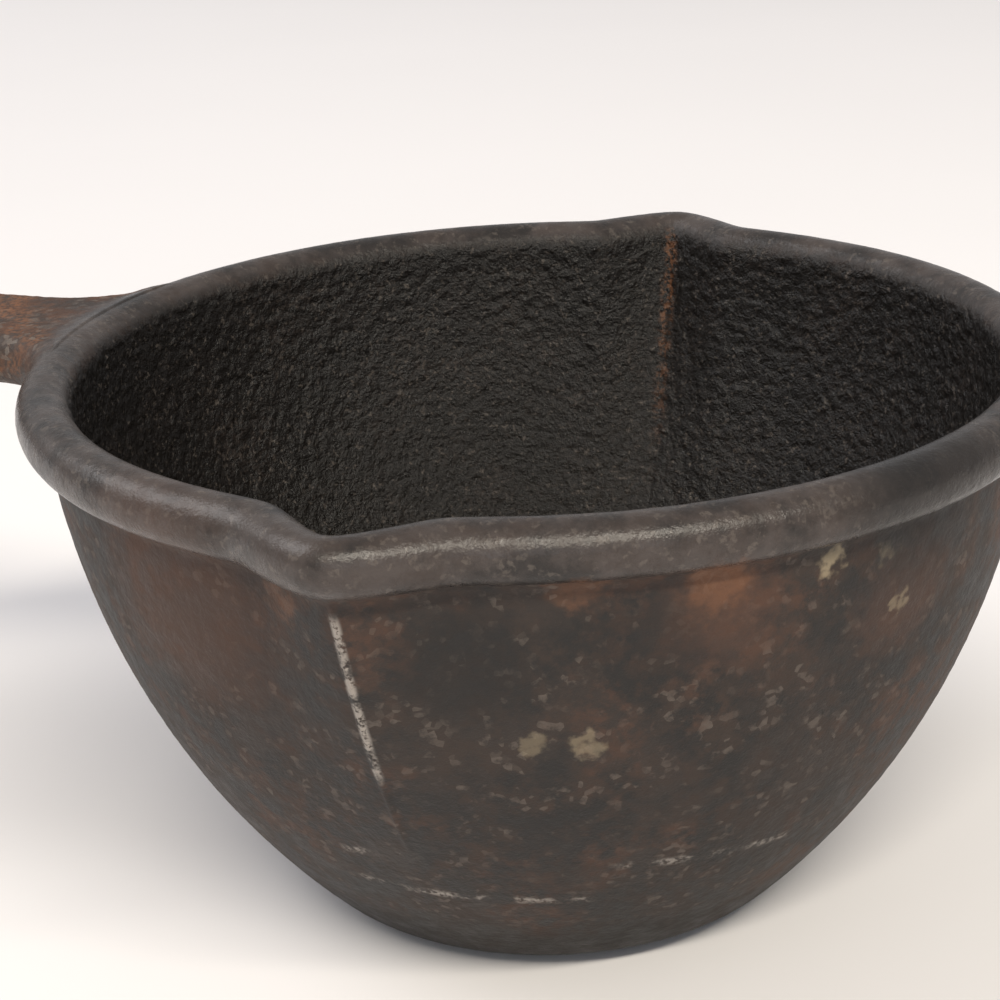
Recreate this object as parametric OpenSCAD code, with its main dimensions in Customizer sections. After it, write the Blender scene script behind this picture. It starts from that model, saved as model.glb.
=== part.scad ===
// Cast-iron butter melting pot: a round bowl with a rolled rim, two pouring
// spouts across from each other, and a flat handle with a hanging hole.
// The real pot is one casting. Each module below is one region of that casting,
// and neighbouring regions meet face to face.
// Origin: centre of the flat underside, on the table. +Z is up, the handle
// runs along -X, and the spouts point along +Y and -Y.

/* [Bowl] */
// Height from the table to the top of the rim
pot_h = 65.4; // [60:0.2:74]
// Diameter across the outside of the rolled rim
rim_d = 119.4; // [112:0.2:128]
// Diameter of the flat underside
base_d = 48; // [42:1:56]
// Radius of the round corner between the underside and the side
corner_r = 9.6; // [8:0.2:12]
// Radius of the long curve up the side
side_r = 94; // [84:1:120]
// Thickness of the cast wall
wall = 3.5; // [2.8:0.1:4.2]
// Thickness of the floor
floor_t = 4.2; // [3:0.1:5.4]
// Radius of the round corner inside, between the floor and the wall
inner_corner_r = 12; // [8:0.5:16]

/* [Rim] */
// Thickness of the roll around the mouth
roll_d = 6.4; // [5.6:0.1:7.2]
// Radius of the hollow between the roll and the wall below it
roll_fillet_r = 2; // [1:0.1:3]
// Height of plain wall that belongs to the rim, below that hollow
rim_skirt = 2; // [1:0.5:8]

/* [Spouts] */
// How far the tip of each spout stands out past the round rim
spout_reach = 7; // [4:0.1:9]
// Width of the mouth of each spout, inside the rim
spout_w = 13.8; // [11:0.1:17]
// Roundness of the inside of the tip, from sharp to blunt
spout_tip = 0.14; // [0.08:0.01:0.3]
// Height at which the fold of each spout starts on the wall
fold_z = 12; // [11:0.5:18]
// How late the fold grows on its way up, where 1 is a straight line
fold_power = 1.6; // [1.2:0.1:2.4]

/* [Handle] */
// Length from the centre of the bowl to the tip of the handle
handle_reach = 163; // [145:1:185]
// Width of the handle at its neck
neck_w = 20; // [16:0.5:24]
// Width of the rounded grip end
grip_w = 26; // [21:0.5:32]
// Thickness of the handle
handle_t = 6.6; // [5.6:0.1:7.4]
// How far the top of the handle lies below the top of the rim
handle_drop = 0.4; // [0:0.1:1]
// How far the grip end stands above the neck
handle_rise = 4; // [0:0.5:8]
// Radius of the flare where the handle spreads into the rim
flare_r = 12; // [9:0.5:16]
// Radius of the hollow under the handle, where it meets the wall
under_r = 5; // [3:0.5:6]
// Width of the rounding along the edges of the handle
edge_w = 2.8; // [1.6:0.1:3.4]
// Diameter of the hanging hole
hole_d = 10; // [6:0.5:14]

/* [Hidden] */

dark_iron = "#2e2b2a";
wall_iron = "#433a34";
rim_iron = "#4b4541";
brown_iron = "#55443a";

// Half of the angle around the bowl that each spout takes up
spout_half = 22;
// How much wider and blunter a spout gets per millimetre from the inside out
spout_spread = 0.28;
spout_blunting = 0.034;
// Softness of the bend where a spout leaves the round wall
spout_root = 0.18;
// Columns on each half of a spout, and how closely they crowd towards its tip
spout_cols = 18;
spout_crowding = 1.5;
// Length of neck that belongs to the handle's root, past the flare
neck_len = 4;
// Length of the handle's end piece ahead of the hole's centre
eye_len = 18;
// Steps up the side, over the roll, and along and around the handle
side_steps = 12;
roll_steps = 16;
flare_steps = 12;
shank_steps = 24;
tip_steps = 24;
edge_steps = 8;
// Facets of a full turn where it is drawn as a mesh
turn = 180;

// Crossing of two circles, left of the way from the first centre to the
// second when side is 1, and right of it when side is -1
function crossing(c1, r1, c2, r2, side) =
    let (gap = c2 - c1, d = norm(gap), u = gap / d,
         a = (r1 * r1 - r2 * r2 + d * d) / (2 * d))
    c1 + a * u + side * sqrt(r1 * r1 - a * a) * [-u[1], u[0]];
function heading(v) = atan2(v[1], v[0]);
// Points of an arc, without its first one when skip is 1
function arc(c, r, a0, a1, steps, skip = 0) =
    [for (i = [skip : steps]) let (a = a0 + (a1 - a0) * i / steps) c + r * [cos(a), sin(a)]];
function smooth(t) = let (u = min(max(t, 0), 1)) u * u * (3 - 2 * u);

// The half section of the bowl

rim_r = rim_d / 2;
roll_r = roll_d / 2;
roll_c = [rim_r - roll_r, pot_h - roll_r];

// The side curve is tangent to the corner arc, and its inside runs up into
// the inside of the roll
corner_c = [base_d / 2, corner_r];
side_c = crossing(corner_c, side_r - corner_r, roll_c + [wall - roll_r, 0], side_r, 1);
inner_r = side_r - wall;
function side_heading(z) = asin((z - side_c[1]) / side_r);

// The hollow under the roll is tangent to the wall and to the roll
fillet_c = crossing(side_c, side_r + roll_fillet_r, roll_c, roll_r + roll_fillet_r, -1);
fillet_a = heading(fillet_c - side_c);
rim_z = side_c[1] + side_r * sin(fillet_a) - rim_skirt;

// The inside corner is tangent to the floor and to the inside of the wall
inner_corner_z = floor_t + inner_corner_r;
inner_corner_c = [side_c[0] + sqrt(pow(inner_r - inner_corner_r, 2) - pow(inner_corner_z - side_c[1], 2)),
                  inner_corner_z];
inner_corner_a = heading(inner_corner_c - side_c);
inner_corner_top = inner_corner_z + inner_corner_r * sin(inner_corner_a);
// Radius of the bowl's inside at a height, on the roll, the wall or the corner
function inside_r(z) =
    z > roll_c[1] ? roll_c[0] - roll_r
    : z > inner_corner_top ? side_c[0] + sqrt(pow(inner_r, 2) - pow(z - side_c[1], 2))
    : inner_corner_c[0] + sqrt(pow(inner_corner_r, 2) - pow(z - inner_corner_z, 2));

// Stretches of the outline, up the outside, over the roll and down the inside
outer_wall = arc(side_c, side_r, side_heading(fold_z), side_heading(rim_z), side_steps);
outer_rim = concat(
    arc(side_c, side_r, side_heading(rim_z), fillet_a, 2, 1),
    arc(fillet_c, roll_fillet_r, heading(side_c - fillet_c), heading(roll_c - fillet_c), 3, 1),
    arc(roll_c, roll_r, heading(fillet_c - roll_c), 180, roll_steps, 1));
inner_wall = [for (i = [side_steps : -1 : 0]) [inside_r(outer_wall[i][1]), outer_wall[i][1]]];

wall_section = concat(outer_wall, inner_wall);
rim_section = concat([outer_wall[side_steps]], outer_rim, [inner_wall[0]]);
spout_section = concat(outer_wall, outer_rim, inner_wall);
base_section = concat(
    [[0, 0]],
    arc(corner_c, corner_r, -90, heading(corner_c - side_c), 8),
    arc(side_c, side_r, heading(corner_c - side_c), side_heading(fold_z), 2, 1),
    [for (i = [0 : 7]) let (z = floor_t + (fold_z - floor_t) * pow(1 - i / 8, 2)) [inside_r(z), z]],
    [[inner_corner_c[0], floor_t], [0, floor_t]]);

module revolve(section, from, to) {
    rotate([0, 0, from]) rotate_extrude(angle = to - from, $fn = turn) polygon(section);
}

module base() {
    color(dark_iron) rotate_extrude($fn = turn) polygon(base_section);
}

module handle_side_wall() {
    color(wall_iron) revolve(wall_section, 90 + spout_half, 270 - spout_half);
}

module far_side_wall() {
    color(wall_iron) revolve(wall_section, -90 + spout_half, 90 - spout_half);
}

module handle_side_rim() {
    color(rim_iron) revolve(rim_section, 90 + spout_half, 270 - spout_half);
}

module far_side_rim() {
    color(rim_iron) revolve(rim_section, -90 + spout_half, 90 - spout_half);
}

// The spouts

// Height of a spout's shape across its width, 1 at the tip and falling to 0.
// The offset is counted in halves of the width, and blunt rounds the tip.
function peak(offset, blunt) =
    let (h = 1 + blunt - sqrt(offset * offset + blunt * blunt))
    (h + sqrt(h * h + spout_root * spout_root)) / (1 + sqrt(1 + spout_root * spout_root));
function spout_shape(angle, p) =
    let (depth = p[0] - inside_r(p[1]),
         blunt = spout_tip + spout_blunting * depth,
         per_degree = p[0] * PI / 180 / (spout_w / 2 + spout_spread * depth),
         side = peak(spout_half * per_degree, blunt))
    (peak(angle * per_degree, blunt) - side) / (1 - side);
// How far the fold stands out of the round wall at a height
function fold(z) = spout_reach * pow(max(z - fold_z, 0) / (pot_h - fold_z), fold_power);
function spout_point(angle, p) =
    let (r = p[0] + fold(p[1]) * spout_shape(angle, p))
    [r * sin(angle), r * cos(angle), p[1]];

// Closed skin over rows of points. Each row is a closed loop that turns
// anticlockwise as seen from the last row.
module skin(rows) {
    n = len(rows[0]);
    last = (len(rows) - 1) * n;
    sides = [for (j = [0 : n : last - n]) for (i = [0 : n - 1])
        let (a = j + i, b = j + (i + 1) % n)
        each [[a, a + n, b], [b, a + n, b + n]]];
    ends = [[for (i = [0 : n - 1]) i], [for (i = [n - 1 : -1 : 0]) last + i]];
    polyhedron([for (row = rows) each row], concat(sides, ends));
}

module spout() {
    skin([for (i = [-spout_cols : spout_cols])
        let (angle = spout_half * sign(i) * pow(abs(i) / spout_cols, spout_crowding))
        [for (p = spout_section) spout_point(angle, p)]]);
}

module left_spout() {
    color(rim_iron) spout();
}

module right_spout() {
    color(rim_iron) rotate([0, 0, 180]) spout();
}

// The handle, where s is the distance from the bowl's centre

// The flare is tangent to the outside of the roll and to the side of the neck
neck_s = sqrt(pow(rim_r + flare_r, 2) - pow(neck_w / 2 + flare_r, 2));
flare_s = neck_s * rim_r / (rim_r + flare_r);
root_end = neck_s + neck_len;
eye_s = handle_reach - grip_w / 2;
eye_start = eye_s - eye_len;
// The hollow underneath ends here
under_s = outer_wall[side_steps][0] + under_r;

// Half of the width, on a line that lies inset inside the widest one
function half_w(s, inset) =
    s < neck_s
    ? neck_w / 2 + flare_r - sqrt(pow(flare_r + inset, 2) - pow(neck_s - s, 2))
    : neck_w / 2 - inset + (grip_w - neck_w) / 2 * smooth((s - neck_s) / (eye_s - neck_s));
// Middle of the thickness
function mid_z(s) =
    pot_h - handle_drop - handle_t / 2
    + handle_rise * smooth((s - root_end) / (eye_start - root_end));
// Extra depth underneath, next to the bowl
function under(s) =
    under_r - sqrt(pow(under_r, 2) - pow(min(max(under_s - s, 0), under_r), 2));

// The rounded edge from the underside to the top: inset, and height as a
// share of half the thickness
edge = [for (i = [0 : edge_steps]) let (a = 180 * i / edge_steps - 90)
    [edge_w * (1 - cos(a)), sin(a)]];
function edge_z(s, e) = mid_z(s) + e[1] * (handle_t / 2 + (e[1] < 0 ? under(s) : 0));
function bar_loop(s) = concat(
    [for (e = edge) [-s, -half_w(s, e[0]), edge_z(s, e)]],
    [for (i = [edge_steps : -1 : 0]) let (e = edge[i]) [-s, half_w(s, e[0]), edge_z(s, e)]]);

module bar(from, to, steps) {
    skin([for (i = [0 : steps]) bar_loop(from + (to - from) * i / steps)]);
}

module handle_root() {
    color(brown_iron) difference() {
        bar(flare_s, root_end, flare_steps);
        revolve(concat([[0, fold_z]], outer_wall, outer_rim, [[0, roll_c[1]]]), 90, 270);
    }
}

module handle_shank() {
    color(brown_iron) bar(root_end, eye_start, shank_steps);
}

// Outline of the end piece at one level of the rounded edge
function eye_loop(e) =
    let (ahead = [for (i = [0 : flare_steps - 1]) eye_start + eye_len * i / flare_steps],
         z = edge_z(eye_s, e))
    concat(
        [for (s = ahead) [-s, half_w(s, e[0]), z]],
        [for (i = [0 : tip_steps]) let (a = 90 + 180 * i / tip_steps, r = grip_w / 2 - e[0])
            [-eye_s + r * cos(a), r * sin(a), z]],
        [for (i = [flare_steps - 1 : -1 : 0]) [-ahead[i], -half_w(ahead[i], e[0]), z]]);

module handle_eye() {
    color(brown_iron) difference() {
        skin([for (e = edge) eye_loop(e)]);
        translate([-eye_s, 0, mid_z(eye_s) - handle_t])
            cylinder(d = hole_d, h = 2 * handle_t, $fn = 64);
    }
}

base();
handle_side_wall();
far_side_wall();
left_spout();
right_spout();
handle_side_rim();
far_side_rim();
handle_root();
handle_shank();
handle_eye();
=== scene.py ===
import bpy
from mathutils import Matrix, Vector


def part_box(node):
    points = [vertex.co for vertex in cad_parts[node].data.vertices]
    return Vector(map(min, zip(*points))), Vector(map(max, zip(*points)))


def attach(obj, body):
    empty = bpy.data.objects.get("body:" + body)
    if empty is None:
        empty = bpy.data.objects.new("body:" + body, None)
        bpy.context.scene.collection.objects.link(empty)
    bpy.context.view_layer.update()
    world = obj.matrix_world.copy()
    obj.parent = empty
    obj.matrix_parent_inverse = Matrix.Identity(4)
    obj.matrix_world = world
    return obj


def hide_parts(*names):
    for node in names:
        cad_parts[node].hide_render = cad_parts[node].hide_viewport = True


bl_info = {
    "name": "Butter melting pot",
    "version": (1, 0, 0),
    "blender": (4, 5, 0),
    "location": "3D View > Sidebar > Melting Pot",
    "description": "Dresses a cast-iron butter melting pot around its packed CAD frame",
    "category": "Add Mesh",
}

import bpy
import numpy as np
from mathutils import Matrix, Vector
from mathutils.geometry import tessellate_polygon

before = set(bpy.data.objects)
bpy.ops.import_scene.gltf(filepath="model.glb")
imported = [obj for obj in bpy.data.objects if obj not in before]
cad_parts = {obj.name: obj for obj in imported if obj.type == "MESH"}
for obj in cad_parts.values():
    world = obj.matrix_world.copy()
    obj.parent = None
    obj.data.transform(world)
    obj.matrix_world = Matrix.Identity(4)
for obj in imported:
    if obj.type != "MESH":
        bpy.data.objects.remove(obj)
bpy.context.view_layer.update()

MM = 0.001
COLUMNS = 900  # around the bowl, halved twice towards its two poles
SPOUT_COLUMNS = 110  # of those, in each spout
FLAT_STEPS, EDGE_STEPS = 72, 36  # across the handle, and round each of its edges


def far(node, corner, axis):
    """The low (0) or high (1) end of a CAD node along an axis, to a tenth of a millimetre."""
    return round(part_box(node)[corner][axis] / MM, 1) * MM


def length(name, description, default):
    """A property that holds a length, in metres."""
    return bpy.props.FloatProperty(
        name=name, description=description, default=default, min=0, unit="LENGTH", precision=5
    )


def colour(name, description, default):
    """A property that holds an sRGB colour, written as hex."""
    return bpy.props.StringProperty(name=name, description=description, default=default)


class PotSizes(bpy.types.PropertyGroup):
    """Sizes of the casting, the same as the solids have."""

    pot_h: length("Height", "From the table to the top of the rim", far("far_side_rim", 1, 2))
    rim_d: length("Rim diameter", "Across the outside of the rolled rim", 2 * far("far_side_rim", 1, 0))
    base_d: length("Base diameter", "Across the flat underside", 48 * MM)
    corner_r: length("Foot radius", "Round corner between the underside and the side", 9.6 * MM)
    side_r: length("Side radius", "The long curve up the side", 94 * MM)
    wall: length("Wall", "Thickness of the cast wall", 3.5 * MM)
    floor_t: length("Floor", "Thickness of the floor", 4.2 * MM)
    inner_corner_r: length("Inner corner", "Round corner between the floor and the wall", 12 * MM)
    roll_d: length("Roll", "Thickness of the roll around the mouth", 6.4 * MM)
    roll_fillet_r: length("Roll hollow", "Hollow between the roll and the wall", 2 * MM)
    rim_z: length("Rim line", "Height where the rim's pieces start", far("far_side_wall", 1, 2))
    spout_reach: length(
        "Spout reach",
        "How far each spout's tip stands out past the round rim",
        far("left_spout", 1, 1) - far("far_side_rim", 1, 0),
    )
    spout_w: length("Spout width", "Mouth of each spout, inside the rim", 13.8 * MM)
    fold_z: length("Fold start", "Height where each spout's fold starts", far("base", 1, 2))
    handle_reach: length("Handle reach", "From the bowl's centre to the handle's tip", -far("handle_eye", 0, 0))
    neck_w: length("Neck width", "Width of the handle at its neck", 20 * MM)
    grip_w: length("Grip width", "Width of the rounded grip end", 2 * far("handle_eye", 1, 1))
    handle_t: length("Handle thickness", "Thickness of the handle", 6.6 * MM)
    handle_drop: length("Handle drop", "From the top of the rim down to the handle", 0.4 * MM)
    handle_rise: length("Handle rise", "How far the grip end stands above the neck", 4 * MM)
    flare_r: length("Flare radius", "Flare where the handle spreads into the rim", 12 * MM)
    under_r: length("Web radius", "Hollow under the handle, next to the wall", 5 * MM)
    edge_w: length("Edge rounding", "Rounding along the handle's edges", 2.8 * MM)
    hole_d: length("Hole diameter", "The hanging hole", 10 * MM)


class PotGrain(bpy.types.PropertyGroup):
    """The relief that green sand leaves on a casting."""

    pebble: length("Pebble", "Spacing of the pebbles of the sand-cast skin", 1.15 * MM)
    pebble_h: length("Pebble height", "Relief of the pebbles inside the bowl", 0.3 * MM)
    ripple: length("Ripple", "Spacing of the slow waves of a hand-rammed mould", 16 * MM)
    ripple_h: length("Ripple height", "Relief of those waves", 0.16 * MM)
    fin: length("Fin height", "Height of the mould's parting line on the spouts", 0.28 * MM)
    seed: bpy.props.IntProperty(name="Seed", description="Which sand grains fell where", default=7)


class PotColours(bpy.types.PropertyGroup):
    """Colours of old seasoned iron, as sRGB."""

    charcoal: colour("Charcoal", "Baked-on seasoning", "#201e1d")
    umber: colour("Umber", "Thin brown seasoning", "#352c27")
    # Also painted inside the bowl as glints on its pebbles
    ash: colour("Ash", "Grey worn specks", "#70675f")
    # Also painted onto the outside towards the foot, as shade
    soot: colour("Soot", "The black inside", "#151210")
    rust: colour("Rust", "Old brown rust", "#4f372b")
    orange: colour("Orange rust", "Fresh rust", "#7a5136")
    worn: colour("Rubbed", "Grey brown where hands and cloths rub", "#443d3a")
    # Also painted down the front spout's keel as a highlight
    bare: colour("Bare iron", "Iron rubbed bare", "#a8a199")
    scale: colour("Scale", "Pale dried scale", "#a39479")
    floor: colour("Table", "The pale table", "#ebe8e8")


def heading(v):
    return np.arctan2(v[1], v[0])


def crossing(c1, r1, c2, r2, side):
    """Crossing of two circles, left of the way from c1 to c2 when side is 1."""
    gap = c2 - c1
    d = np.hypot(*gap)
    u = gap / d
    a = (r1 * r1 - r2 * r2 + d * d) / (2 * d)
    return c1 + a * u + side * np.sqrt(r1 * r1 - a * a) * np.array([-u[1], u[0]])


def smooth(t):
    t = np.clip(t, 0, 1)
    return t * t * (3 - 2 * t)


class Shape:
    """The casting's half section and handle, in millimetres."""

    def __init__(self, sizes):
        for key in PotSizes.__annotations__:
            setattr(self, key, getattr(sizes, key) / MM)
        self.rim_r, self.roll_r = self.rim_d / 2, self.roll_d / 2
        self.roll_c = np.array([self.rim_r - self.roll_r, self.pot_h - self.roll_r])
        self.corner_c = np.array([self.base_d / 2, self.corner_r])
        self.side_c = crossing(
            self.corner_c,
            self.side_r - self.corner_r,
            self.roll_c + [self.wall - self.roll_r, 0],
            self.side_r,
            1,
        )
        self.inner_r = self.side_r - self.wall
        self.fillet_c = crossing(
            self.side_c,
            self.side_r + self.roll_fillet_r,
            self.roll_c,
            self.roll_r + self.roll_fillet_r,
            -1,
        )
        z = self.floor_t + self.inner_corner_r
        across = np.sqrt((self.inner_r - self.inner_corner_r) ** 2 - (z - self.side_c[1]) ** 2)
        self.inner_corner_c = np.array([self.side_c[0] + across, z])
        self.neck_s = np.sqrt((self.rim_r + self.flare_r) ** 2 - (self.neck_w / 2 + self.flare_r) ** 2)
        self.root_end = self.neck_s + 4
        self.eye_s = self.handle_reach - self.grip_w / 2
        self.eye_start = self.eye_s - 18
        self.section()

    def side_heading(self, z, radius):
        return np.arcsin((z - self.side_c[1]) / radius)

    def section(self):
        """Rows of the bowl's skin, from the middle of the underside, up, over the roll and down to the
        middle of the floor, and the rows where the nodes meet."""
        rows, parts = [], []

        def arc(part, c, r, a0, a1, step):
            n = max(1, round(abs(a1 - a0) * r / step))
            for i in range(1, n + 1):
                a = a0 + (a1 - a0) * i / n
                rows.append(c + r * np.array([np.cos(a), np.sin(a)]))
                parts.append(part)
            return len(rows) - 1

        foot_a = heading(self.corner_c - self.side_c)
        for r in np.linspace(1.5, self.base_d / 2, 18):
            rows.append(np.array([r, 0.0]))
            parts.append("underside")
        arc("foot", self.corner_c, self.corner_r, -np.pi / 2, foot_a, 0.45)
        fold_a, rim_a = (self.side_heading(z, self.side_r) for z in (self.fold_z, self.rim_z))
        self.base_row = arc("outside", self.side_c, self.side_r, foot_a, fold_a, 0.45)
        self.rim_row = arc("outside", self.side_c, self.side_r, fold_a, rim_a, 0.42)
        fillet_a = heading(self.fillet_c - self.side_c)
        arc("rim", self.side_c, self.side_r, rim_a, fillet_a, 0.3)
        arc("rim", self.fillet_c, self.roll_fillet_r, heading(self.side_c - self.fillet_c),
            heading(self.roll_c - self.fillet_c), 0.22)
        self.roll_row = len(rows)
        arc("roll", self.roll_c, self.roll_r, heading(self.fillet_c - self.roll_c), np.pi, 0.2)
        roll_end = len(rows) - 1
        top_a, low_a = (self.side_heading(z, self.inner_r) for z in (self.rim_z, self.fold_z))
        start_a = self.side_heading(self.roll_c[1], self.inner_r)
        self.inner_rim_row = arc("inside", self.side_c, self.inner_r, start_a, top_a, 0.3)
        self.inner_base_row = arc("inside", self.side_c, self.inner_r, top_a, low_a, 0.33)
        corner_a = heading(self.inner_corner_c - self.side_c)
        arc("inside", self.side_c, self.inner_r, low_a, corner_a, 0.34)
        arc("inside", self.inner_corner_c, self.inner_corner_r, corner_a, -np.pi / 2, 0.34)
        for r in np.linspace(self.inner_corner_c[0], 1.2, round(self.inner_corner_c[0] / 0.4))[1:]:
            rows.append(np.array([r, self.floor_t]))
            parts.append("inside")
        self.rows, self.parts = np.array(rows), np.array(parts)
        steps = np.hypot(*np.diff(self.rows, axis=0).T)
        self.along = np.r_[0, np.cumsum(steps)]
        self.lip = self.along[self.roll_row:roll_end + 1][[0, -1]]
        # The outside of the round pot, from the wall's foot to the inside of the roll
        self.outline = self.rows[self.base_row:roll_end + 1]
        self.outline_along = self.along[self.base_row:roll_end + 1]

    def inside_r(self, z):
        """Radius of the bowl's inside at a height."""
        z = np.asarray(z, float)
        on_wall = self.side_c[0] + np.sqrt(np.maximum(self.inner_r**2 - (z - self.side_c[1]) ** 2, 0))
        return np.where(z > self.roll_c[1], self.roll_c[0] - self.roll_r, on_wall)

    def half_w(self, s, inset):
        """Half the handle's width, on a line inset inside its edge."""
        flare = self.neck_w / 2 + self.flare_r - np.sqrt(
            np.maximum((self.flare_r + inset) ** 2 - (self.neck_s - s) ** 2, 0)
        )
        bar = self.neck_w / 2 - inset + (self.grip_w - self.neck_w) / 2 * smooth(
            (s - self.neck_s) / (self.eye_s - self.neck_s)
        )
        return np.where(s < self.neck_s, flare, bar)

    def mid_z(self, s):
        rise = smooth((s - self.root_end) / (self.eye_start - self.root_end))
        return self.pot_h - self.handle_drop - self.handle_t / 2 + self.handle_rise * rise

    def under(self, s):
        """Depth of the web under the handle, next to the wall."""
        end = self.rows[self.rim_row][0] + self.under_r
        into = np.clip(end - s, 0, self.under_r)
        return self.under_r - np.sqrt(self.under_r**2 - into**2)

    def loop(self):
        """Points round the handle, as (share of the width, inset, share of the thickness)."""
        edge = np.linspace(-np.pi / 2, np.pi / 2, EDGE_STEPS + 1)
        side = np.c_[np.ones(EDGE_STEPS + 1), self.edge_w * (1 - np.cos(edge)), np.sin(edge)]
        across = np.linspace(-1, 1, FLAT_STEPS + 1)[1:-1]
        flat = np.c_[across, np.full(len(across), self.edge_w), np.ones(len(across))]
        return np.r_[side * [-1, 1, 1], flat, side[::-1], flat[::-1] * [1, 1, -1]]

    def bar(self, s):
        """One loop of the handle at s from the bowl's centre."""
        t, inset, up = self.loop().T
        z = self.mid_z(s) + up * self.handle_t / 2
        return np.c_[np.full(len(t), -float(s)), t * self.half_w(s, inset), z]

    def pot_distance(self, p):
        """Distance of points from the round pot's outside, negative in the iron."""
        q = np.c_[np.hypot(p[:, 0], p[:, 1]), p[:, 2]]
        a, b = self.outline[:-1], self.outline[1:]
        d = b - a
        best = np.full(len(q), 1e9)
        for i in range(len(a)):
            t = np.clip(((q - a[i]) @ d[i]) / (d[i] @ d[i]), 0, 1)
            off = q - a[i] - t[:, None] * d[i]
            far_off = np.hypot(*off.T)
            near = far_off < np.abs(best)
            sign = np.sign(d[i][1] * off[:, 0] - d[i][0] * off[:, 1])
            best = np.where(near, far_off * np.where(sign == 0, 1, sign), best)
        return best

    def handle_distance(self, p):
        s, y, z = -p[:, 0], np.abs(p[:, 1]), p[:, 2]
        turn, rho = np.arctan2(y, s), np.hypot(y, s)
        flare_y = self.neck_w / 2 + self.flare_r
        flare_turn = np.arctan2(flare_y, self.neck_s)
        past = np.maximum(turn - flare_turn, 0) * self.rim_r
        out = np.where(
            s < self.neck_s,
            self.flare_r - np.hypot(s - self.neck_s, y - flare_y),
            y - self.half_w(s, 0),
        )
        out = np.where(past > 0, rho - self.rim_r + 0.2 * past, out)
        web = self.under(s) * smooth((flare_turn + 0.03 - turn) / 0.16)
        off = z - self.mid_z(s)
        half = self.handle_t / 2 + np.where(off < 0, web, 0)
        edge = np.hypot(np.maximum(out / self.edge_w + 1, 0), off / half) - 1
        return np.where(out < -self.edge_w, np.abs(off) - half, edge * self.edge_w)

    def joined(self, p):
        """Distance from the pot and handle together, with a hollow where they meet."""
        a, b = self.pot_distance(p), self.handle_distance(p)
        flare_turn = np.arctan2(self.neck_w / 2 + self.flare_r, self.neck_s)
        turn = np.arctan2(np.abs(p[:, 1]), -p[:, 0])
        k = 0.02 + 1.5 * smooth((flare_turn - turn) / 0.1)
        h = np.maximum(k - np.abs(a - b), 0) / k
        return np.minimum(a, b) - h * h * k / 4

    def settle(self, p):
        """Moves points onto the joined surface."""
        p = p.copy()
        for _ in range(14):
            f = self.joined(p)
            g = np.stack([(self.joined(p + e) - self.joined(p - e)) / 0.01 for e in np.eye(3) * 0.005], 1)
            step = f / np.maximum((g * g).sum(1), 0.2)
            p -= np.clip(step, -0.7, 0.7)[:, None] * g
        return p


class Skin:
    """A surface that grows by grids of vertices, each with its attributes."""

    def __init__(self):
        self.co, self.values, self.quads, self.tris = [], {}, [], []
        self.count = 0

    def points(self, co, **values):
        """Adds vertices and returns their numbers, in the shape that co has."""
        co = np.asarray(co, float)
        shape = co.shape[:-1]
        n = int(np.prod(shape))
        self.co.append(co.reshape(-1, 3))
        for key, value in values.items():
            self.values.setdefault(key, []).append(np.broadcast_to(value, shape).ravel())
        self.count += n
        return np.arange(self.count - n, self.count).reshape(shape)

    def grid(self, index):
        """Fills a grid of vertex numbers with quads, leaving out those with no width."""
        q = np.stack([index[:-1, :-1], index[:-1, 1:], index[1:, 1:], index[1:, :-1]], -1).reshape(-1, 4)
        self.quads.append(q)
        return q

    def mesh(self, name):
        """The skin as a Blender mesh, in metres."""
        quads = np.concatenate(self.quads)
        tris = np.concatenate(self.tris) if self.tris else np.zeros((0, 3), int)
        mesh = raw_mesh(name, np.concatenate(self.co) * MM, quads, tris)
        for key, parts in self.values.items():
            mesh.attributes.new(key, "FLOAT", "POINT").data.foreach_set(
                "value", np.concatenate(parts).astype(np.float32)
            )
        return mesh


def raw_mesh(name, co, quads, tris):
    mesh = bpy.data.meshes.new(name)
    mesh.vertices.add(len(co))
    mesh.vertices.foreach_set("co", co.astype(np.float32).ravel())
    corners = np.concatenate([quads.ravel(), tris.ravel()])
    mesh.loops.add(len(corners))
    mesh.loops.foreach_set("vertex_index", corners.astype(np.int32))
    starts = np.concatenate([np.arange(len(quads)) * 4, len(quads) * 4 + np.arange(len(tris)) * 3])
    mesh.polygons.add(len(starts))
    mesh.polygons.foreach_set("loop_start", starts.astype(np.int32))
    mesh.update(calc_edges=True)
    mesh.validate()
    return mesh


def add(tree, kind, settings=None, inputs=None, output=0):
    """Adds a node, sets it up, fills its inputs with values or links and returns an output."""
    node = tree.nodes.new(kind)
    for key, value in (settings or {}).items():
        setattr(node, key, value)
    for key, value in (inputs or {}).items():
        socket = node.inputs[key]
        if isinstance(value, bpy.types.NodeSocket):
            tree.links.new(value, socket)
        else:
            socket.default_value = value
    return node.outputs[output]


def new_group(name, sockets):
    """A Geometry Nodes tree with its group input and output nodes."""
    tree = bpy.data.node_groups.new(name, "GeometryNodeTree")
    tree.interface.new_socket("Geometry", in_out="OUTPUT", socket_type="NodeSocketGeometry")
    tree.interface.new_socket("Geometry", in_out="INPUT", socket_type="NodeSocketGeometry")
    for label, kind in sockets:
        tree.interface.new_socket(label, in_out="INPUT", socket_type=kind)
    return tree, tree.nodes.new("NodeGroupInput").outputs


def close_group(tree, geometry, material):
    """Ends a tree in plain geometry that holds its material."""
    real = add(tree, "GeometryNodeRealizeInstances", inputs={"Geometry": geometry})
    done = add(tree, "GeometryNodeSetMaterial", inputs={"Geometry": real, "Material": material})
    add_output = tree.nodes.new("NodeGroupOutput")
    tree.links.new(done, add_output.inputs[0])


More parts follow.
